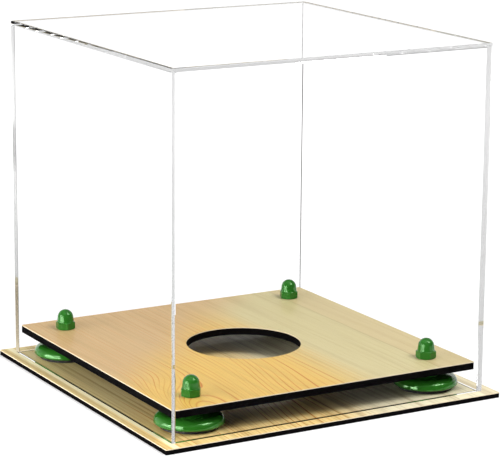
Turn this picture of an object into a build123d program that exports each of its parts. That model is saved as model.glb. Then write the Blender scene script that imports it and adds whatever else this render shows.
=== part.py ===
# Display case for one bowling ball: a clear five-sided cover on a square base, with a raised
# platform inside that stands on four risers and holds the ball in a round hole.
# Millimetres, +Z up. The front face looks along -Y. The origin is the centre of the underside.

from build123d import *
import math
import os

# Base: a black board with a wood veneer on top
base_side = 272.4
base_board_thickness = 3.175
veneer_thickness = 0.6
board_corner_radius = 0.5

# Cover: five clear panels, an eighth of an inch thick, glued to a ten-inch cube that is open at the bottom
cover_side = 254.0
cover_height = 254.0
panel_thickness = 3.175
panel_edge_chamfer = 0.3

# Platform: a thicker black board with a wood veneer on top
platform_side = 244.0
platform_board_thickness = 5.1
platform_rise = 16.0
ball_hole_diameter = 85.2

# Corner fixings: the bolt axes stand this far in from the platform's edges
bolt_inset = 25.0
bolt_shank_diameter = 8.0
bolt_shank_length = 24.5
bolt_head_diameter = 16.0
bolt_head_thickness = 3.0
bolt_tip_chamfer = 1.0
bolt_hole_diameter = 8.4

# Risers: round discs with slightly tapered sides, a broad shoulder and a hub up to the platform
riser_diameter = 47.6
riser_side_taper = 11.0
riser_foot_radius = 1.2
riser_rim_height = 6.7
riser_shoulder_radius = 5.5
riser_crown_rise = 0.6
riser_hub_diameter = 18.0
riser_hub_fillet = 2.0
head_pocket_clearance = 0.3

# Pads: soft discs glued under the risers
pad_diameter = 39.5
pad_thickness = 2.9
pad_edge_chamfer = 0.4

# Cap nuts: M8, a hexagon with a slightly tapered dome on it
nut_across_flats = 13.0
nut_hex_height = 5.8
nut_chamfer_circle = 12.4
nut_chamfer_angle = 30.0
nut_dome_diameter = 11.8
nut_dome_taper = 7.0
nut_total_height = 15.0
nut_bore_diameter = 8.1
nut_bore_depth = 11.0
nut_bore_tip_angle = 60.0

# Heights that follow from the dimensions above
base_top = base_board_thickness + veneer_thickness
platform_underside = base_top + platform_rise
platform_board_top = platform_underside + platform_board_thickness
platform_top = platform_board_top + veneer_thickness
cover_top_underside = base_top + cover_height - panel_thickness
bolt_offset = platform_side / 2 - bolt_inset
riser_bottom = base_top + pad_thickness

# The four fixings, by the side of the platform that each one stands at
corners = {
    "front_left": (-bolt_offset, -bolt_offset),
    "front_right": (bolt_offset, -bolt_offset),
    "back_left": (-bolt_offset, bolt_offset),
    "back_right": (bolt_offset, bolt_offset),
}

# How far each nut came to be turned when it was tightened, in degrees
nut_turns = {"front_left": -4.0, "front_right": 22.0, "back_left": 20.0, "back_right": 9.0}

standing = (Align.CENTER, Align.CENTER, Align.MIN)


def square_board(side, thickness, bottom):
    """A flat square board with slightly eased corners, its underside at the height bottom."""
    board = Pos(0, 0, bottom) * Box(side, side, thickness, align=standing)
    return fillet(board.edges().filter_by(Axis.Z), board_corner_radius)


def upright_hole(diameter, x, y, bottom, top):
    """The space of a round vertical hole from the height bottom to the height top."""
    return Pos(x, y, bottom) * Cylinder(diameter / 2, top - bottom, align=standing)


def base_board():
    """The black board that everything stands on."""
    return square_board(base_side, base_board_thickness, 0)


def base_veneer():
    """The wood face of the base, edge to edge with its board."""
    return square_board(base_side, veneer_thickness, base_board_thickness)


def platform_layer(thickness, bottom):
    """One layer of the platform, with the ball's hole and the four bolt holes cut through it."""
    layer = square_board(platform_side, thickness, bottom)
    top = bottom + thickness
    layer -= upright_hole(ball_hole_diameter, 0, 0, bottom, top)
    for x, y in corners.values():
        layer -= upright_hole(bolt_hole_diameter, x, y, bottom, top)
    return layer


def cover_top():
    """The lid panel, laid over the top edges of the four walls."""
    panel = Pos(0, 0, cover_top_underside) * Box(
        cover_side, cover_side, panel_thickness, align=standing
    )
    top_edges = panel.edges().group_by(Axis.Z)[-1]
    return chamfer(top_edges, panel_edge_chamfer)


def cover_wall_full(side):
    """The front (side -1) or back (side 1) wall, as wide as the whole cover."""
    middle = side * (cover_side - panel_thickness) / 2
    height = cover_top_underside - base_top
    panel = Pos(0, middle, base_top) * Box(cover_side, panel_thickness, height, align=standing)
    outer_edges = panel.edges().filter_by(Axis.Z).filter_by(
        lambda edge: abs(edge.center().Y) > cover_side / 2 - panel_thickness / 2
    )
    return chamfer(outer_edges, panel_edge_chamfer)


def cover_wall_between(side):
    """The left (side -1) or right (side 1) wall, held between the front and back walls."""
    middle = side * (cover_side - panel_thickness) / 2
    height = cover_top_underside - base_top
    depth = cover_side - 2 * panel_thickness
    return Pos(middle, 0, base_top) * Box(panel_thickness, depth, height, align=standing)


def pad(x, y):
    """The soft pad under a riser, with its lower edge broken."""
    disc = Pos(x, y, base_top) * Cylinder(pad_diameter / 2, pad_thickness, align=standing)
    lower_edge = disc.edges().group_by(Axis.Z)[0]
    return chamfer(lower_edge, pad_edge_chamfer)


def riser(x, y):
    """A disc with a rounded shoulder, a low crown and a hub, turned about the bolt's axis."""
    rim = riser_diameter / 2
    shoulder = rim - riser_rim_height * math.tan(math.radians(riser_side_taper))
    rim_top = riser_bottom + riser_rim_height
    hub = riser_hub_diameter / 2
    crown = rim_top + riser_crown_rise
    with BuildSketch(Plane.XZ) as section:
        with BuildLine():
            Polyline(
                (0, riser_bottom),
                (rim, riser_bottom),
                (shoulder, rim_top),
                (hub, crown),
                (hub, platform_underside),
                (0, platform_underside),
                close=True,
            )
        make_face()
        foot_corner = section.vertices().sort_by_distance((rim, 0, riser_bottom))[0]
        fillet(foot_corner, riser_foot_radius)
        shoulder_corner = section.vertices().sort_by_distance((shoulder, 0, rim_top))[0]
        fillet(shoulder_corner, riser_shoulder_radius)
        hub_root = section.vertices().sort_by_distance((hub, 0, crown))[0]
        fillet(hub_root, riser_hub_fillet)
    body = Pos(x, y, 0) * revolve(section.sketch, Axis.Z)
    pocket = bolt_head_diameter + 2 * head_pocket_clearance
    pocket_top = riser_bottom + bolt_head_thickness
    body -= upright_hole(pocket, x, y, riser_bottom, pocket_top)
    body -= upright_hole(bolt_hole_diameter, x, y, riser_bottom, platform_underside)
    return body


def bolt(x, y):
    """A low-headed M8 bolt, head down in the riser's pocket, its shank up into the cap nut."""
    head = Pos(x, y, riser_bottom) * Cylinder(
        bolt_head_diameter / 2, bolt_head_thickness, align=standing
    )
    shank_bottom = riser_bottom + bolt_head_thickness
    shank = Pos(x, y, shank_bottom) * Cylinder(
        bolt_shank_diameter / 2, bolt_shank_length, align=standing
    )
    tip = shank.edges().group_by(Axis.Z)[-1]
    shank = chamfer(tip, bolt_tip_chamfer)
    return head + shank


def nut_hexagon():
    """The nut's hexagon with its corners cut back by a cone at each end."""
    corner_radius = nut_across_flats / math.sqrt(3)
    hexagon = extrude(RegularPolygon(corner_radius, 6), nut_hex_height)
    circle = nut_chamfer_circle / 2
    drop = (corner_radius - circle) * math.tan(math.radians(nut_chamfer_angle))
    with BuildSketch(Plane.XZ) as section:
        with BuildLine():
            Polyline(
                (0, 0),
                (circle, 0),
                (corner_radius, drop),
                (corner_radius, nut_hex_height - drop),
                (circle, nut_hex_height),
                (0, nut_hex_height),
                close=True,
            )
        make_face()
    return hexagon & revolve(section.sketch, Axis.Z)


def nut_dome():
    """The dome: a ball's cap on a neck that widens towards the hexagon, both smooth where they meet."""
    radius = nut_dome_diameter / 2
    centre = nut_total_height - radius
    taper = math.radians(nut_dome_taper)
    halfway = (taper + math.pi / 2) / 2
    meet = (radius * math.cos(taper), centre + radius * math.sin(taper))
    arc_middle = (radius * math.cos(halfway), centre + radius * math.sin(halfway))
    neck = meet[0] + (meet[1] - nut_hex_height) * math.tan(taper)
    with BuildSketch(Plane.XZ) as section:
        with BuildLine():
            Line((0, 0), (neck, 0))
            Line((neck, 0), (neck, nut_hex_height))
            Line((neck, nut_hex_height), meet)
            ThreePointArc(meet, arc_middle, (0, nut_total_height))
            Line((0, nut_total_height), (0, 0))
        make_face()
    return revolve(section.sketch, Axis.Z)


def nut_bore():
    """The threaded hole's space, as wide as the thread and ending in a drill point."""
    radius = nut_bore_diameter / 2
    point = radius / math.tan(math.radians(nut_bore_tip_angle))
    with BuildSketch(Plane.XZ) as section:
        with BuildLine():
            Polyline(
                (0, 0),
                (radius, 0),
                (radius, nut_bore_depth - point),
                (0, nut_bore_depth),
                close=True,
            )
        make_face()
    return revolve(section.sketch, Axis.Z)


def cap_nut(x, y, turn):
    """A cap nut sitting on the platform's veneer, over the end of its bolt."""
    nut = nut_hexagon() + nut_dome() - nut_bore()
    return Pos(x, y, platform_top) * Rot(0, 0, turn) * nut


# Every piece by name
pieces = {
    "base_board": base_board(),
    "base_veneer": base_veneer(),
    "cover_top": cover_top(),
    "cover_front": cover_wall_full(-1),
    "cover_back": cover_wall_full(1),
    "cover_left": cover_wall_between(-1),
    "cover_right": cover_wall_between(1),
    "platform_board": platform_layer(platform_board_thickness, platform_underside),
    "platform_veneer": platform_layer(veneer_thickness, platform_board_top),
}
for corner, (x, y) in corners.items():
    pieces["pad_" + corner] = pad(x, y)
    pieces["riser_" + corner] = riser(x, y)
    pieces["bolt_" + corner] = bolt(x, y)
    pieces["nut_" + corner] = cap_nut(x, y, nut_turns[corner])

os.makedirs("parts", exist_ok=True)
for name, shape in pieces.items():
    export_step(shape, "parts/" + name + ".step")
    print(name, "volume", round(shape.volume), "cubic millimetres")
print("platform top at", round(platform_top, 2))
print("cover top at", round(cover_top_underside + panel_thickness, 2))
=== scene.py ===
# %% [markdown]
# # A clear display case with a wooden stand
# This lesson dresses a finished construction model in Blender. The case is a clear five-sided
# cover on a square veneered base. Inside it a smaller veneered platform stands on four turned
# risers, held by bolts and cap nuts. The construction model gives every place and size, and
# this script gives the shapes their fine detail, their finish, the light and the camera.

# %% Load the construction model
import math

import bpy
import numpy as np
from mathutils import Matrix, Vector


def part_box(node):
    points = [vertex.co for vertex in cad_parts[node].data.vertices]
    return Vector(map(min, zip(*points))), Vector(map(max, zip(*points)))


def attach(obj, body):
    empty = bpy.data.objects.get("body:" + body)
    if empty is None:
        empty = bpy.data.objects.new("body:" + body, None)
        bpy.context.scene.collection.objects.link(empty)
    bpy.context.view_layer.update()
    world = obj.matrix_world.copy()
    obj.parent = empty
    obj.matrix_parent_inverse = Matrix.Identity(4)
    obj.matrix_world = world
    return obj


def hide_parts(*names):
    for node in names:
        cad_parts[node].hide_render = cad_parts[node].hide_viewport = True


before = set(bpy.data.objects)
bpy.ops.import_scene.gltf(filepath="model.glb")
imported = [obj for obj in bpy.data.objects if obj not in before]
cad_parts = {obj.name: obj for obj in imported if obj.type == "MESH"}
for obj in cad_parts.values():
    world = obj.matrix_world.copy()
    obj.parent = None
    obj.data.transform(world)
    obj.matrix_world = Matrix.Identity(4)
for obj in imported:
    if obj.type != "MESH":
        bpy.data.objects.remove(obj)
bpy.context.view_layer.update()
scene = bpy.context.scene
mm = 0.001
corners = ("front_left", "front_right", "back_left", "back_right")

# %% [markdown]
# ## The camera
# The photograph was taken with a long lens from the front left, a little above the object.
# The camera is given as a turn, a height angle, a slight roll and a distance from the point
# that it looks at, because these are what a photographer would set. The axes of the camera
# follow from them by two cross products.

# %% Place the camera
camera_azimuth = math.radians(-30.045)
camera_elevation = math.radians(13.009)
camera_roll = math.radians(0.481)
camera_distance = 1658.7 * mm
camera_target = Vector((5.4, 0, 112.0)) * mm
focal_length_pixels = 2257.1
image_width_pixels = 500
sensor_width = 36.0


def camera_axes(azimuth, elevation, roll):
    """Right, up and back: back points from the target to the camera, right is level, roll turns the pair."""
    level = math.cos(elevation)
    back = Vector((math.sin(azimuth) * level, -math.cos(azimuth) * level, math.sin(elevation)))
    right = Vector((math.cos(azimuth), math.sin(azimuth), 0))
    up = back.cross(right)
    rolled_right = right * math.cos(roll) + up * math.sin(roll)
    rolled_up = up * math.cos(roll) - right * math.sin(roll)
    return rolled_right, rolled_up, back


def make_camera():
    right, up, back = camera_axes(camera_azimuth, camera_elevation, camera_roll)
    camera = bpy.data.objects.new("camera", bpy.data.cameras.new("camera"))
    scene.collection.objects.link(camera)
    turn = Matrix((right, up, back)).transposed().to_4x4()
    camera.matrix_world = Matrix.Translation(camera_target + back * camera_distance) @ turn
    camera.data.sensor_width = sensor_width
    camera.data.lens = focal_length_pixels / image_width_pixels * sensor_width
    camera.data.clip_start = 0.01
    scene.camera = camera
    print("camera at", [round(v, 3) for v in camera.matrix_world.translation])


make_camera()

# %% [markdown]
# ## Shader maths as Python
# A material is a network of small nodes. Written one by one they hide the idea, so a small
# class wraps an output socket and lets plain Python arithmetic add the Math nodes. Every other
# node comes from one method, which takes its type, its settings and its sockets.

# %% A socket with arithmetic, and a node tree that is being written
class Wire:
    """An output socket. Arithmetic with numbers or other wires adds Math nodes."""

    def __init__(self, net, socket):
        self.net = net
        self.socket = socket

    def math(self, operation, *others):
        return self.net.maths(operation, self, *others)

    def __add__(self, other):
        return self.math("ADD", other)

    def __sub__(self, other):
        return self.math("SUBTRACT", other)

    def __rsub__(self, other):
        return self.net.maths("SUBTRACT", other, self)

    def __mul__(self, other):
        return self.math("MULTIPLY", other)

    def __truediv__(self, other):
        return self.math("DIVIDE", other)

    __radd__ = __add__
    __rmul__ = __mul__

    def step(self, low, high):
        """Goes smoothly from 0 at low to 1 at high."""
        ends = {"Value": self, "From Min": low, "From Max": high}
        return self.net.node("ShaderNodeMapRange", {"interpolation_type": "SMOOTHSTEP"}, ends)


class Net:
    """The node tree of a material, a light or the world, written from the inputs to the output."""

    def __init__(self, owner):
        owner.use_nodes = True
        self.tree = owner.node_tree
        self.tree.nodes.clear()

    def node(self, kind, settings, sockets, output=0):
        """Adds a node, sets its settings, then its sockets by name or number, and wraps one output."""
        made = self.tree.nodes.new(kind)
        for name, value in settings.items():
            setattr(made, name, value)
        for name, value in sockets.items():
            if isinstance(value, Wire):
                self.tree.links.new(value.socket, made.inputs[name])
            else:
                made.inputs[name].default_value = value
        return Wire(self, made.outputs[output]) if made.outputs else None

    def maths(self, operation, *values):
        return self.node("ShaderNodeMath", {"operation": operation}, dict(enumerate(values)))

    def place(self):
        """The point's place on the piece, in metres."""
        return self.node("ShaderNodeTexCoord", {}, {}, "Object")

    def facing(self):
        """The way the surface faces, as a unit vector in the object's frame."""
        return self.node("ShaderNodeTexCoord", {}, {}, "Normal")

    def parts(self, vector):
        """The three numbers of a vector, as wires."""
        outputs = self.node("ShaderNodeSeparateXYZ", {}, {0: vector}).socket.node.outputs
        return [Wire(self, outputs[axis]) for axis in "XYZ"]

    def vector(self, x, y, z):
        return self.node("ShaderNodeCombineXYZ", {}, {"X": x, "Y": y, "Z": z})

    def mix(self, factor, first, second):
        """The first colour where the factor is 0, the second where it is 1."""
        return self.node("ShaderNodeMix", {"data_type": "RGBA"}, {0: factor, 6: first, 7: second}, 2)

    def noise(self, vector, scale, detail=2.0, roughness=0.5):
        """Soft noise around 0.5; scale is in lumps per metre."""
        sockets = {"Vector": vector, "Scale": scale, "Detail": detail, "Roughness": roughness}
        return self.node("ShaderNodeTexNoise", {}, sockets)

    def bump(self, height, distance):
        """A normal that follows the height, where one unit of height stands for distance metres."""
        return self.node("ShaderNodeBump", {}, {"Height": height, "Distance": distance})

    def principled(self, sockets):
        return self.node("ShaderNodeBsdfPrincipled", {}, sockets)

    def output(self, shader, **inside):
        """The end of the network: the surface, and with Volume= what fills the body."""
        self.node("ShaderNodeOutputMaterial", {}, {"Surface": shader, **inside})


def shade(red, green, blue):
    """A colour as a screen shows it, 0 to 255, turned into the linear light that shaders use."""
    shown = np.array([red, green, blue]) / 255
    linear = np.where(shown > 0.04045, ((shown + 0.055) / 1.055) ** 2.4, shown / 12.92)
    return (*linear.tolist(), 1.0)


# %% [markdown]
# ## Floor, surroundings and lamps
# The object stands on a white sweep. A wide lamp hangs above its front, another stands close at
# its left, and the main one shines from high on the front right. Low down, the surroundings are
# bright behind the object and dim behind the camera, and a soft grey strip crosses the sweep in
# front, out of sight: clear plastic is only seen by what its edges mirror and bend, so against an
# evenly white room the cover would disappear.

# %% Light the scene
floor_radius = 5.0
floor_drop = 0.2 * mm
grey_strip_place = 0.47
grey_strip_edges = (0.05, 0.17)
far_glow_edges = (0.2, 1.2)
low_front_brightness = 0.04
low_back_brightness = 1.03
high_brightness = 0.45
front_to_back = (-0.45, 0.35)
low_to_high = (0.3, 0.6)
horizon = (-0.02, 0.02)
light_bounces = 96


def make_floor():
    """A round white disc with a grey strip across its front.
    It glows a little near the object, and more far away, where the lamps don't reach."""
    turns = np.linspace(0, 2 * math.pi, 64, endpoint=False)
    rim = np.stack([floor_radius * np.cos(turns), floor_radius * np.sin(turns), turns * 0 - floor_drop], 1)
    mesh = bpy.data.meshes.new("floor")
    mesh.from_pydata(rim.tolist(), [], [list(range(len(rim)))])
    floor = bpy.data.objects.new("floor", mesh)
    scene.collection.objects.link(floor)
    material = bpy.data.materials.new("white_floor")
    net = Net(material)
    grain = net.noise(net.place(), 30.0)
    white = net.mix(grain, shade(246, 246, 246), shade(252, 252, 252))
    x, y, z = net.parts(net.place())
    off_strip = (y + grey_strip_place).math("ABSOLUTE").step(*grey_strip_edges)
    tint = net.mix(off_strip, shade(180, 180, 180), white)
    far = net.maths("SQRT", x * x + y * y).step(*far_glow_edges)
    glow = net.mix(far, shade(90, 90, 90), shade(210, 210, 210))
    sockets = {"Base Color": tint, "Roughness": 0.9, "Specular IOR Level": 0.0}
    sockets.update({"Emission Color": glow, "Emission Strength": 1.0})
    net.output(net.principled(sockets))
    mesh.materials.append(material)
    floor.visible_glossy = False


def make_surroundings():
    """Brightness by direction: low down it is dark in front and bright behind, high up it is a soft grey.
    Below the horizon there is none."""
    world = bpy.data.worlds.new("studio")
    scene.world = world
    net = Net(world)
    sideways, depth, height = net.parts(net.node("ShaderNodeTexCoord", {}, {}, "Generated"))
    behind = depth.step(*front_to_back)
    low = low_front_brightness + behind * (low_back_brightness - low_front_brightness)
    high = height.step(*low_to_high)
    light = low * (1.0 - high) + high * high_brightness
    light = light * height.step(*horizon)
    background = net.node("ShaderNodeBackground", {}, {"Color": (1, 1, 1, 1), "Strength": light})
    net.node("ShaderNodeOutputWorld", {}, {"Surface": background})


def make_lamp(name, place, target, width, height, brightness):
    """A flat lamp; its power is brightness times pi times its area."""
    lamp = bpy.data.lights.new(name, "AREA")
    lamp.shape = "RECTANGLE"
    lamp.size = width
    lamp.size_y = height
    lamp.energy = brightness * math.pi * width * height
    stand = bpy.data.objects.new(name, lamp)
    scene.collection.objects.link(stand)
    aim = (Vector(target) - Vector(place)).to_track_quat("-Z", "Y")
    stand.matrix_world = Matrix.Translation(place) @ aim.to_matrix().to_4x4()


make_floor()
make_surroundings()
make_lamp("overhead_lamp", (0.0, -0.35, 1.4), (0, 0, 0), 1.6, 0.9, 0.85)
make_lamp("left_lamp", (-0.85, -0.15, 0.19), (0, -0.15, 0.19), 0.95, 0.38, 9.0)
make_lamp("main_lamp", (0.48, -0.62, 1.04), (0, 0, 0.05), 0.66, 0.55, 9.3)
scene.view_settings.view_transform = "Standard"
for kind in ("max_bounces", "glossy_bounces", "transmission_bounces"):
    setattr(scene.cycles, kind, light_bounces)

# %% [markdown]
# ## Shapes from arrays
# Most pieces here are turned: a profile goes once around an axis. The points are a grid whose
# rows follow the profile and whose columns go around, so one formula makes the whole array.
# A profile runs from the underside outwards, up and back in, which makes faces point outwards.

# %% Profiles with rounded corners, and grids of points into pieces
def rounded(outline, steps=6):
    """A profile with rounded corners, as rows of radius and height. A corner is (radius, height, rounding).
    The arc's centre is on the corner's bisector, rounding / sin(half the corner's angle) away, and the arc
    swings evenly from one tangent point to the other."""
    outline = np.array(outline, float)
    rows = []
    for here, before, after in zip(outline, np.roll(outline, 1, 0), np.roll(outline, -1, 0)):
        rows.append(here[None, :2])
        if here[2] > 0:
            back = (before - here)[:2] / np.linalg.norm((before - here)[:2])
            ahead = (after - here)[:2] / np.linalg.norm((after - here)[:2])
            half = math.acos(np.dot(back, ahead)) / 2
            bisector = (back + ahead) / np.linalg.norm(back + ahead)
            centre = here[:2] + bisector * here[2] / math.sin(half)
            start = here[:2] + back * here[2] / math.tan(half) - centre
            end = here[:2] + ahead * here[2] / math.tan(half) - centre
            swing = math.pi - 2 * half
            share = np.linspace(0, 1, steps + 1)[:, None]
            arc = start * np.sin((1 - share) * swing) + end * np.sin(share * swing)
            rows[-1] = centre + arc / math.sin(swing)
    return np.concatenate(rows)


def grid_faces(rows, columns, closed):
    """Quads between neighbours; the last column meets the first, and so does the last row where closed."""
    row = np.arange(rows if closed else rows - 1)[:, None]
    column = np.arange(columns)[None, :]
    above = (row + 1) % rows
    beside = (column + 1) % columns
    around = (
        row * columns + column,
        row * columns + beside,
        above * columns + beside,
        above * columns + column,
    )
    return np.stack(np.broadcast_arrays(*around), -1).reshape(-1, 4)


def pole_faces(rows, columns):
    """Triangles from the first row to a point below it and from the last row to a point above it."""
    column = np.arange(columns)
    beside = (column + 1) % columns
    top = (rows - 1) * columns
    below = np.stack([np.full(columns, rows * columns), beside, column], 1)
    above = np.stack([top + column, top + beside, np.full(columns, rows * columns + 1)], 1)
    return below.tolist() + above.tolist()


def piece(name, points, faces, material, body, stands_for, crease=30.0):
    """Makes an object of points in metres, hangs it under its body and hides the construction nodes that it
    stands for.
    """
    mesh = bpy.data.meshes.new(name)
    mesh.from_pydata(points.tolist(), [], faces)
    mesh.validate()
    mesh.shade_smooth()
    mesh.set_sharp_from_angle(angle=math.radians(crease))
    mesh.materials.append(material)
    made = bpy.data.objects.new(name, mesh)
    scene.collection.objects.link(made)
    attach(made, body)
    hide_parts(*stands_for)
    print(name, "has", len(mesh.polygons), "faces")
    return made


def turned_points(centre, radius, height, columns):
    """Goes around the axis through the centre: x and y are radius times cosine and sine of the turn."""
    turn = np.linspace(0, 2 * math.pi, columns, endpoint=False)[None, :]
    radius, height, turn = np.broadcast_arrays(radius, height, turn)
    x = centre[0] + radius * np.cos(turn)
    y = centre[1] + radius * np.sin(turn)
    return np.stack([x, y, height], -1)


def turned_ring(centre, profile, columns):
    """A turned shape with a hole along its axis: its profile is a closed loop."""
    points = turned_points(centre, profile[:, :1], profile[:, 1:], columns)
    return points.reshape(-1, 3), grid_faces(len(profile), columns, True).tolist()


def turned_solid(centre, radius, height, columns, low, high):
    """A turned shape closed on its axis by the points at the heights low and high."""
    points = turned_points(centre, radius, height, columns)
    rows = len(points)
    poles = [(centre[0], centre[1], low), (centre[0], centre[1], high)]
    faces = grid_faces(rows, columns, False).tolist() + pole_faces(rows, columns)
    return np.concatenate([points.reshape(-1, 3), poles]), faces


def standing(node):
    """The axis, the radius, the underside and the top of a round upright node, in metres."""
    low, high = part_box(node)
    middle = (low + high) / 2
    return middle, (high.x - low.x) / 2, low.z, high.z


# %% [markdown]
# ## Green plastic and green enamel
# The risers are moulded in a deep, glossy green, and the cap nuts are painted to match. Both
# are mostly gloss, so the colour stays nearly even and the life comes from a soft ripple in
# the surface, finer on the sprayed enamel, and from a little variation in how sharp it shines.

# %% Green finishes
def green_plastic():
    material = bpy.data.materials.new("moulded_green_plastic")
    net = Net(material)
    place = net.place()
    cloud = net.noise(place, 60.0, 3.0)
    tint = net.mix(cloud, shade(36, 98, 26), shade(46, 116, 34))
    haze = net.noise(place, 400.0, 2.0)
    sockets = {"Base Color": tint, "Roughness": 0.03 + haze * 0.05, "IOR": 1.6}
    sockets["Specular Tint"] = (0.55, 1.0, 0.5, 1.0)
    sockets["Normal"] = net.bump(net.noise(place, 160.0, 1.0), 0.001 * mm)
    net.output(net.principled(sockets))
    return material


def green_enamel():
    material = bpy.data.materials.new("sprayed_green_enamel")
    net = Net(material)
    place = net.place()
    cloud = net.noise(place, 150.0, 2.0)
    tint = net.mix(cloud, shade(32, 92, 26), shade(42, 110, 34))
    peel = net.noise(place, 900.0, 1.0)
    sockets = {"Base Color": tint, "Roughness": 0.05 + cloud * 0.06, "IOR": 1.5}
    sockets["Specular Tint"] = (0.55, 1.0, 0.5, 1.0)
    sockets["Normal"] = net.bump(peel, 0.002 * mm)
    net.output(net.principled(sockets))
    return material


# %% [markdown]
# ## The risers
# Each riser is a thick disc with a rounded foot, slightly tapered sides, a broad shoulder and a
# hub that carries the platform. A bolt head sits in a pocket under it. One closed profile holds
# all of that, and going around the bolt's axis makes the solid. The shoulder is a short cone with
# a small rounding below it and a large one above, so that a lamp shows on it as a broad ellipse.

# %% Turn the risers
riser_foot_rounding = 1.2
riser_foot_loss = 0.26
riser_side_taper = math.radians(11)
riser_side_height = 3.9
riser_side_rounding = 4.0
riser_shoulder_slope = math.radians(48)
riser_shoulder_rounding = 6.0
riser_rim_height = 6.75
riser_crown_rise = 0.55
riser_hub_rounding = 2.0
riser_hub_edge = 0.3
riser_inner_edge = 0.2
riser_hub_radius = 9.0
riser_pocket_radius = 8.3
riser_pocket_depth = 3.0
riser_bore_radius = 4.2
riser_columns = 160


def make_riser(corner, material):
    """The foot's rounding takes a little off the widest radius, so the unrounded rim starts further out."""
    node = "riser_" + corner
    axis, radius, bottom, top = standing(node)
    rim = radius / mm + riser_foot_loss
    side = rim - riser_side_height * math.tan(riser_side_taper)
    shoulder = side - (riser_rim_height - riser_side_height) / math.tan(riser_shoulder_slope)
    height = (top - bottom) / mm
    crown = riser_rim_height + riser_crown_rise
    outline = [
        (riser_pocket_radius, 0, riser_inner_edge),
        (rim, 0, riser_foot_rounding),
        (side, riser_side_height, riser_side_rounding),
        (shoulder, riser_rim_height, riser_shoulder_rounding),
        (riser_hub_radius, crown, riser_hub_rounding),
        (riser_hub_radius, height, riser_hub_edge),
        (riser_bore_radius, height, riser_inner_edge),
        (riser_bore_radius, riser_pocket_depth, riser_inner_edge),
        (riser_pocket_radius, riser_pocket_depth, riser_inner_edge),
    ]
    profile = rounded(outline, steps=12) * mm
    profile[:, 1] += bottom
    points, faces = turned_ring(axis, profile, riser_columns)
    piece("riser_disc_" + corner, points, faces, material, "stand", [node])


riser_finish = green_plastic()
for corner in corners:
    make_riser(corner, riser_finish)

# %% [markdown]
# ## The cap nuts
# A cap nut is a hexagon with its corners cut back by a cone, and a tapered dome over the bolt's
# end. Around the axis the hexagon's radius is the distance to the nearest flat. Blending the
# six flats by a high power instead of taking the nearest softens the corners as paint does.
# The cone meets the flats higher or lower as the radius changes, so those rows of the grid
# follow the crossing and keep the curved edge crisp.

# %% Shape the nuts
nut_flat_radius = 6.5
nut_hexagon_height = 5.8
nut_chamfer_radius = 6.2
nut_chamfer_slope = math.tan(math.radians(30))
nut_corner_power = 90
nut_dome_radius = 5.9
nut_dome_taper = math.radians(7)
nut_bore_radius = 4.05
nut_bore_depth = 11.0
nut_bore_edge = 0.2
nut_point_height = 2.3
nut_neck_rounding = 0.5
nut_cone_reach = 1.0
nut_dome_rows = 20
nut_columns = 192
nut_crease = 25.0
nut_turns = {"front_left": -4.0, "front_right": 22.0, "back_left": 20.0, "back_right": 9.0}


def hexagon_radius(turn):
    """Flats' distance over the p-norm of the six cosines towards the flats: large p gives a sharp hexagon."""
    flats = np.radians(30 + 60 * np.arange(6))[:, None]
    towards = np.clip(np.cos(turn - flats), 0, None)
    return nut_flat_radius / np.sum(towards**nut_corner_power, 0) ** (1 / nut_corner_power)


def nut_dome_profile(height):
    """The neck leans in by the taper until it meets the dome's circle, whose top is the nut's top."""
    centre = height - nut_dome_radius
    angles = np.linspace(nut_dome_taper, math.pi / 2, nut_dome_rows, endpoint=False)
    cap = np.stack([nut_dome_radius * np.cos(angles), centre + nut_dome_radius * np.sin(angles)], 1)
    neck_foot = cap[0, 0] + (cap[0, 1] - nut_hexagon_height) * math.tan(nut_dome_taper)
    corner_top = nut_hexagon_height - (neck_foot - nut_chamfer_radius) * nut_chamfer_slope
    on_cone = (neck_foot + nut_cone_reach, corner_top - nut_cone_reach * nut_chamfer_slope, 0)
    foot = rounded([on_cone, (neck_foot, corner_top, nut_neck_rounding), (*cap[0], 0)])
    return np.concatenate([foot[1:-1], cap])


def make_nut(corner, material):
    node = "nut_" + corner
    axis, radius, bottom, top = standing(node)
    height = (top - bottom) / mm
    turn = np.linspace(0, 2 * math.pi, nut_columns, endpoint=False) - math.radians(nut_turns[corner])
    hexagon = hexagon_radius(turn)
    cut = np.clip(hexagon - nut_chamfer_radius, 0, None) * nut_chamfer_slope
    even = np.ones(nut_columns)
    rows = [
        (nut_bore_radius * even, (nut_bore_depth - nut_point_height) * even),
        (nut_bore_radius * even, nut_bore_edge * even),
        ((nut_bore_radius + nut_bore_edge) * even, 0 * even),
        (np.minimum(hexagon, nut_chamfer_radius), 0 * even),
        (hexagon, cut),
        (hexagon, nut_hexagon_height - cut),
    ]
    rows += [(r * even, h * even) for r, h in nut_dome_profile(height)]
    radii = np.array([r for r, h in rows]) * mm
    heights = np.array([h for r, h in rows]) * mm + bottom
    peak = bottom + nut_bore_depth * mm
    points, faces = turned_solid(axis, radii, heights, nut_columns, peak, top)
    piece("cap_nut_" + corner, points, faces, material, "stand", [node], nut_crease)


nut_finish = green_enamel()
for corner in corners:
    make_nut(corner, nut_finish)

# %% [markdown]
# ## Pads and bolts
# A rubber pad under each riser keeps the stand from sliding on the veneer. The bolts hold
# everything together. They are hidden in the finished case, but the part can be taken apart,
# so the thread is cut as on a real bolt: the radius swings once per pitch, and the swing's
# place slides up with the turn, which winds it into a helix.

# %% Rubber and steel
def black_rubber():
    material = bpy.data.materials.new("black_rubber")
    net = Net(material)
    place = net.place()
    dust_and_foot_shade = net.noise(place, 220.0, 4.0, 0.7)
    tint = net.mix(dust_and_foot_shade.step(0.45, 0.8), shade(14, 14, 15), shade(38, 37, 36))
    sockets = {"Base Color": tint, "Roughness": 0.62 + dust_and_foot_shade * 0.25}
    sockets["Normal"] = net.bump(net.noise(place, 2500.0, 2.0), 0.03 * mm)
    net.output(net.principled(sockets))
    return material


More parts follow.
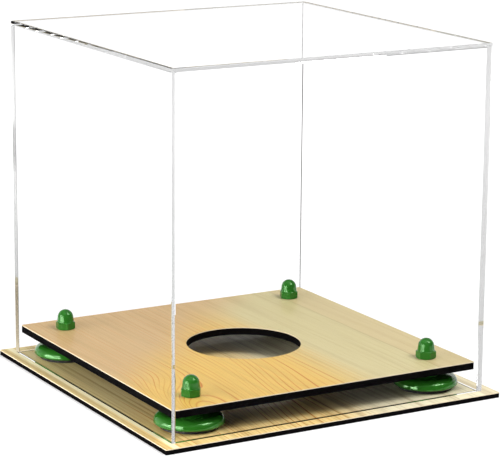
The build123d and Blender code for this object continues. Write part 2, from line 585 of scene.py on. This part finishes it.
def plated_steel():
    material = bpy.data.materials.new("plated_steel")
    net = Net(material)
    place = net.place()
    bloom = net.noise(place, 300.0, 3.0)
    tint = net.mix(bloom, shade(150, 152, 155), shade(196, 197, 194))
    sockets = {"Base Color": tint, "Metallic": 1.0, "Roughness": 0.22 + bloom * 0.2}
    net.output(net.principled(sockets))
    return material


# %% Turn the pads and cut the bolts
pad_columns = 96
pad_rim_width = 1.2 * mm
pad_lower_rounding = 0.6 * mm
pad_upper_rounding = 0.4 * mm
bolt_head_radius = 8.0
bolt_head_height = 3.0
bolt_head_face_radius = 5.0
bolt_head_lower_rounding = 0.8
bolt_head_upper_rounding = 0.5
bolt_neck_gap = 0.5
bolt_shank_radius = 4.0
bolt_tip_chamfer = 1.0
thread_pitch = 1.25
thread_depth = 0.77
thread_rows_per_pitch = 10
thread_columns = 48


def make_pad(corner, material):
    node = "pad_" + corner
    axis, radius, bottom, top = standing(node)
    outline = [
        (radius - pad_rim_width, bottom, 0),
        (radius, bottom, pad_lower_rounding),
        (radius, top, pad_upper_rounding),
        (radius - pad_rim_width, top, 0),
    ]
    profile = rounded(outline)
    points, faces = turned_solid(axis, profile[:, :1], profile[:, 1:], pad_columns, bottom, top)
    piece("pad_disc_" + corner, points, faces, material, "stand", [node])


def make_bolt(corner, material):
    """Head below, then the thread, whose radius is
    shank - depth * (0.5 - 0.5 cos(2 pi (height / pitch - turns)))."""
    node = "bolt_" + corner
    axis, radius, bottom, top = standing(node)
    turns = np.linspace(0, 1, thread_columns, endpoint=False)[None, :]
    shank_bottom = bottom / mm + bolt_head_height
    tip = top / mm
    count = int((tip - shank_bottom) / thread_pitch * thread_rows_per_pitch)
    height = np.linspace(shank_bottom, tip, count)[:, None]
    wave = 0.5 - 0.5 * np.cos(2 * math.pi * (height / thread_pitch - turns))
    crest = np.minimum(bolt_shank_radius, bolt_shank_radius - bolt_tip_chamfer + (tip - height))
    thread = np.minimum(bolt_shank_radius - thread_depth * wave, crest)
    head = rounded([
        (bolt_head_face_radius, bottom / mm, 0),
        (bolt_head_radius, bottom / mm, bolt_head_lower_rounding),
        (bolt_head_radius, shank_bottom, bolt_head_upper_rounding),
        (bolt_shank_radius + bolt_neck_gap, shank_bottom, 0),
    ])
    head_radius = np.repeat(head[:, :1], thread_columns, 1)
    head_height = np.repeat(head[:, 1:], thread_columns, 1)
    radii = np.concatenate([head_radius, thread]) * mm
    heights = np.concatenate([head_height, np.repeat(height, thread_columns, 1)]) * mm
    points, faces = turned_solid(axis, radii, heights, thread_columns, bottom, top)
    piece("bolt_screw_" + corner, points, faces, material, "stand", [node])


pad_finish = black_rubber()
bolt_finish = plated_steel()
for corner in corners:
    make_pad(corner, pad_finish)
    make_bolt(corner, bolt_finish)

# %% [markdown]
# ## Veneer and black edges
# Both boards carry a leaf of softwood veneer. Year rings are counted over the leaf: the ring
# number grows evenly across the grain, and its fraction runs from 0 to 1 in each ring, so a dark
# line is drawn where the fraction is nearly 1. Whatever is added to the number bends the lines.
# A hill of extra rings wraps them into nested arches, and a drift towards the front makes them lean.

# %% Year rings and the colour of the wood
ring_width = 4.0 * mm
lean_drift = 18.0 * mm
joint_place = 92.5 * mm
joint_wander = 2.0 * mm
joint_core = 0.1 * mm
joint_reach = 0.6 * mm
foot_shade_places = (122.6, 123.0, 123.7, 124.0)
light_stripe_places = (-130.6, -129.8, -126.2, -125.4)
ochre_edge = (-133.0 * mm, -131.0 * mm)


def year_rings(net, x, y, arch_rings):
    """The ring number: across / ring width, with a lean, plus a hill at the front left, plus slow noise."""
    slow = net.noise(net.vector(x * 9.0, y * 2.2, arch_rings), 1.0, 2.0)
    bend = net.noise(net.vector(x * 40.0, y * 7.0, 3.0), 1.0, 2.0)
    leaning = (x - y * 0.23).step(-0.055, -0.015) * (1.0 - x.step(-0.035, 0.020))
    drift = (1.0 - y.step(-0.14, -0.02)) * leaning * lean_drift
    crest = x - y * 0.1 + 0.095
    hill = crest.step(-0.030, 0.0) * (1.0 - crest.step(0.0, 0.040)) * (1.0 - y.step(-0.135, -0.035))
    return (x + drift) / ring_width + hill * arch_rings + (slow - 0.5) * 2.0 + (bend - 0.5) * 0.3


def wood_colour(net, tones, arch_rings, streakiness):
    """Three zones of colour from left to right, with late-wood lines, streaks and fine fibres over them."""
    x, y, z = net.parts(net.place())
    rings = year_rings(net, x, y, arch_rings)
    phase = net.maths("FRACT", rings)
    vary = net.noise(net.vector((rings - phase) * 3.7, y * 6.0, 9.0), 1.0, 1.0)
    late = phase.step(0.66, 0.88) * (1.0 - phase.step(0.90, 0.99)) * vary.step(0.32, 0.66)
    fibres = net.noise(net.vector(x * 1500.0, y * 22.0, 0.0), 1.0, 3.0, 0.6)
    streaks = net.noise(net.vector(x * 160.0, y * 3.0, arch_rings), 1.0, 3.0, 0.6)
    patches = net.noise(net.vector(x * 14.0, y * 3.0, 7.0), 1.0, 3.0)
    left, middle, right = (net.mix(patches, *pair) for pair in tones)
    to_right = (x + (patches - 0.5) * 0.04).step(-0.006, 0.042)
    to_left = 1.0 - (x - y + (patches - 0.5) * 0.06).step(-0.100, -0.025)
    early = net.mix(to_left, net.mix(to_right, middle, right), left)
    strength = 1.0 - to_right * 0.95 - to_left * 0.65
    lined = net.mix(late * strength, early, shade(200, 122, 40))
    pores = net.noise(net.vector(x * 420.0, y * 5.0, arch_rings + 2.0), 1.0, 2.0, 0.6).step(0.52, 0.66)
    streaked = net.mix(streaks.step(0.45, 0.75) * streakiness, lined, shade(150, 116, 62))
    streaked = net.mix(pores * streakiness * 0.5, streaked, shade(128, 88, 44))
    return net.mix(fibres.step(0.52, 0.75) * 0.15, streaked, shade(140, 100, 50)), fibres


def between(wire, start, full, fading, end):
    """1 where the wire is between full and fading, and 0 outside start and end, all in millimetres."""
    return wire.step(start * mm, full * mm) * (1.0 - wire.step(fading * mm, end * mm))


def joint_line(net, wood):
    """Two strips of veneer meet in a fine dark line; the strip beyond it is a little rosier."""
    x, y, z = net.parts(net.place())
    wander = (net.noise(net.vector(0.0, y * 12.0, 4.0), 1.0) - 0.5) * joint_wander
    beyond = x - joint_place + wander
    joint = beyond.step(-joint_reach, -joint_core) * (1.0 - beyond.step(joint_core, joint_reach))
    rosy = net.mix(beyond.step(0.0, 1.0 * mm) * 0.4, wood, shade(208, 182, 136))
    return net.mix(joint * 0.4, rosy, shade(140, 104, 66))


def cover_foot_light_and_shade(net, wood):
    """Painted shade: a dark line along the inner foot of the cover, where the wall shades the wood. Beside
    its foot at the left runs a painted stripe of light, and the wood beyond that is darker."""
    x, y, z = net.parts(net.place())
    out = net.maths("MAXIMUM", x.math("ABSOLUTE"), y.math("ABSOLUTE"))
    # Painted shade: a dark line along the cover's inner foot, where the wall shades the wood.
    dust_and_foot_shade = between(out, *foot_shade_places)
    # Painted light: a pale stripe beside the cover's foot at the left, where light from the cover's rim falls
    # on the wood.
    light_stripe = between(x, *light_stripe_places)
    ochre = 1.0 - x.step(*ochre_edge)
    lit_stripe = net.mix(light_stripe * 0.85, wood, shade(255, 246, 205))
    darker = net.mix(ochre * 0.3, lit_stripe, shade(160, 128, 66))
    # The painted shade of the cover's foot darkens the wood to a dark brown.
    return net.mix(dust_and_foot_shade * 0.7, darker, shade(70, 52, 30))


def veneer(name, gloss, tones, marks, arch_rings, streakiness):
    """The leaf's face is the wood, its cut sides are pale, and a thin lacquer covers both."""
    material = bpy.data.materials.new(name)
    net = Net(material)
    wood, fibres = wood_colour(net, tones, arch_rings, streakiness)
    side = 1.0 - net.parts(net.facing())[2].step(0.3, 0.7)
    tint = net.mix(side, marks(net, wood), shade(232, 216, 186))
    sockets = {"Base Color": tint, "Roughness": 0.40 + fibres * 0.2, "Coat Weight": gloss}
    sockets.update({"Coat Roughness": 0.04, "Coat IOR": 1.5, "Specular IOR Level": 0.1})
    sockets["Normal"] = net.bump(fibres, 0.01 * mm)
    net.output(net.principled(sockets))
    return material


def black_edge():
    """Black paint on sawn board: nearly even, with fine streaks along the cut and a trace of dust."""
    material = bpy.data.materials.new("black_painted_edge")
    net = Net(material)
    x, y, z = net.parts(net.place())
    streak = net.noise(net.vector(x * 30.0, y * 30.0, z * 2500.0), 1.0, 2.0)
    dust_and_foot_shade = net.noise(net.place(), 350.0, 4.0, 0.7)
    tint = net.mix(dust_and_foot_shade.step(0.55, 0.9), shade(12, 11, 12), shade(30, 29, 30))
    sockets = {"Base Color": tint, "Roughness": 0.45 + streak * 0.2, "IOR": 1.08, "Specular IOR Level": 0.1}
    sockets["Normal"] = net.bump(streak, 0.01 * mm)
    net.output(net.principled(sockets))
    return material


def dress(nodes, material):
    """Gives a construction node its finish by filling its material slots."""
    for name in nodes:
        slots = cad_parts[name].data.materials
        for number in range(len(slots)):
            slots[number] = material
        print(name, "wears", material.name)


platform_tones = (
    (shade(207, 177, 133), shade(205, 169, 113)),
    (shade(229, 191, 100), shade(222, 181, 94)),
    (shade(210, 198, 152), shade(205, 192, 139)),
)
base_tones = (
    (shade(240, 220, 163), shade(231, 209, 138)),
    (shade(253, 229, 163), shade(250, 210, 130)),
    (shade(249, 240, 206), shade(244, 234, 196)),
)
dress(["base_veneer"], veneer("base_veneer_leaf", 0.1, base_tones, cover_foot_light_and_shade, 0.0, 0.45))
dress(["platform_veneer"], veneer("platform_veneer_leaf", 0.12, platform_tones, joint_line, 11.0, 0.2))
dress(["base_board", "platform_board"], black_edge())

# %% [markdown]
# ## The clear cover
# Five acrylic panels are glued with solvent, which melts them into one body: light runs through
# the joints without a break. Five separate glass boxes would mirror it there, so the cover is one
# closed shell. Loops of eight points, two at each corner of a slightly broken square, are carried
# from the ceiling down the inside, under the rim and up the outside to the top. The cement has
# left a faint grey line up three inner corners, and the back wall still stands on its sawn edge.

# %% Acrylic, and the shell of the cover
cover_nodes = ["cover_top", "cover_front", "cover_back", "cover_left", "cover_right"]
cover_outer_chamfer = 0.3
cover_inner_fillet = 0.5
cover_rim_gap = 0.05
cover_crease = 5.0
acrylic_index = 1.49
acrylic_wave = 0.003 * mm
acrylic_dimming_per_metre = 1.6
lamp_light_per_face = 0.93


def clear_acrylic(name, share):
    """Bends light, mirrors it at grazing angles and dims it a little on long ways inside. Lamp rays and
    scattered light go straight through, so that the inside stays lit. The share is what a face leaves
    of the light that it bends or mirrors."""
    material = bpy.data.materials.new(name)
    net = Net(material)
    wave = net.bump(net.noise(net.place(), 9.0, 1.0), acrylic_wave)
    clear = {"Color": (share, share, share, 1), "Roughness": 0.0, "Normal": wave}
    bent = net.node("ShaderNodeBsdfRefraction", {}, {**clear, "IOR": acrylic_index})
    mirrored = net.node("ShaderNodeBsdfGlossy", {}, clear)
    fresnel = net.node("ShaderNodeFresnel", {}, {"IOR": acrylic_index, "Normal": wave})
    glass = net.node("ShaderNodeMixShader", {}, {0: fresnel.step(0.2, 0.9), 1: bent, 2: mirrored})
    passed = (lamp_light_per_face, lamp_light_per_face, lamp_light_per_face, 1)
    passing = net.node("ShaderNodeBsdfTransparent", {}, {"Color": passed})
    lamp_ray = net.node("ShaderNodeLightPath", {}, {}, "Is Shadow Ray")
    scattered = net.node("ShaderNodeLightPath", {}, {}, "Is Diffuse Ray")
    open_to = net.maths("MAXIMUM", lamp_ray, scattered)
    surface = net.node("ShaderNodeMixShader", {}, {0: open_to, 1: glass, 2: passing})
    dimming = {"Color": (0, 0, 0, 1), "Density": acrylic_dimming_per_metre}
    net.output(surface, Volume=net.node("ShaderNodeVolumeAbsorption", {}, dimming))
    return material


def sawn_acrylic_painted_glow():
    """A sawn edge: frosted, with fine saw marks, and a painted glow, emitted, that stands for the light the
    panel brings it.
    """
    material = bpy.data.materials.new("sawn_acrylic_painted_glow")
    net = Net(material)
    x, y, z = net.parts(net.place())
    marks = net.noise(net.vector(x * 900.0, y * 900.0, 0.0), 1.0, 2.0)
    tint = net.mix(marks, shade(250, 238, 214), shade(236, 218, 184))
    sockets = {"Base Color": tint, "Roughness": 0.6, "Specular IOR Level": 0.0}
    # Painted glow: the emission stands in for light carried down the panel to its sawn edge.
    sockets.update({"Emission Color": shade(250, 232, 196), "Emission Strength": 0.25})
    net.output(net.principled(sockets))
    return material


def square_loop(half, cut, height):
    """The eight corners of a square with broken corners, starting at the right side and going left round."""
    long, short = half, half - cut
    x = np.array([long, long, short, -short, -long, -long, -short, short])
    y = np.array([-short, short, long, long, short, -short, -long, -long])
    return np.stack([x, y, x * 0 + height], 1)


def make_cover(clear, cement, sawn):
    """The shell, with cement on the inner corners behind and at the right, and sawn under the back wall."""
    lows, highs = zip(*(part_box(node) for node in cover_nodes))
    outer = max(high.x for high in highs)
    top = max(high.z for high in highs)
    rim = min(low.z for low in lows) + cover_rim_gap * mm
    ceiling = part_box("cover_top")[0].z
    inner = outer - (top - ceiling)
    chamfer = cover_outer_chamfer * mm
    fillet = cover_inner_fillet * mm
    loops = [
        square_loop(inner - fillet, fillet, ceiling),
        square_loop(inner, fillet, ceiling - fillet),
        square_loop(inner, fillet, rim),
        square_loop(outer, chamfer, rim),
        square_loop(outer, chamfer, top - chamfer),
        square_loop(outer - chamfer, chamfer, top),
    ]
    points = np.concatenate(loops + [[(0, 0, ceiling), (0, 0, top)]])
    faces = grid_faces(len(loops), 8, False).tolist() + pole_faces(len(loops), 8)
    made = piece("clear_cover", points, faces, clear, "cover", cover_nodes, cover_crease)
    made.data.materials.append(cement)
    made.data.materials.append(sawn)
    for face in made.data.polygons:
        x, y, z = face.center
        on_inner_corner = min(abs(x), abs(y)) > inner - fillet and max(abs(x), abs(y)) < inner
        if on_inner_corner and z < ceiling - fillet and max(x, y) > 0:
            face.material_index = 1
        if face.normal.z < -0.9 and z < ceiling / 2 and y > inner:
            face.material_index = 2
    print("cover wall", round((outer - inner) / mm, 2), "mm thick, volume closed:", len(made.data.polygons))


make_cover(clear_acrylic("clear_acrylic", 1.0), clear_acrylic("cement_line", 0.5), sawn_acrylic_painted_glow())
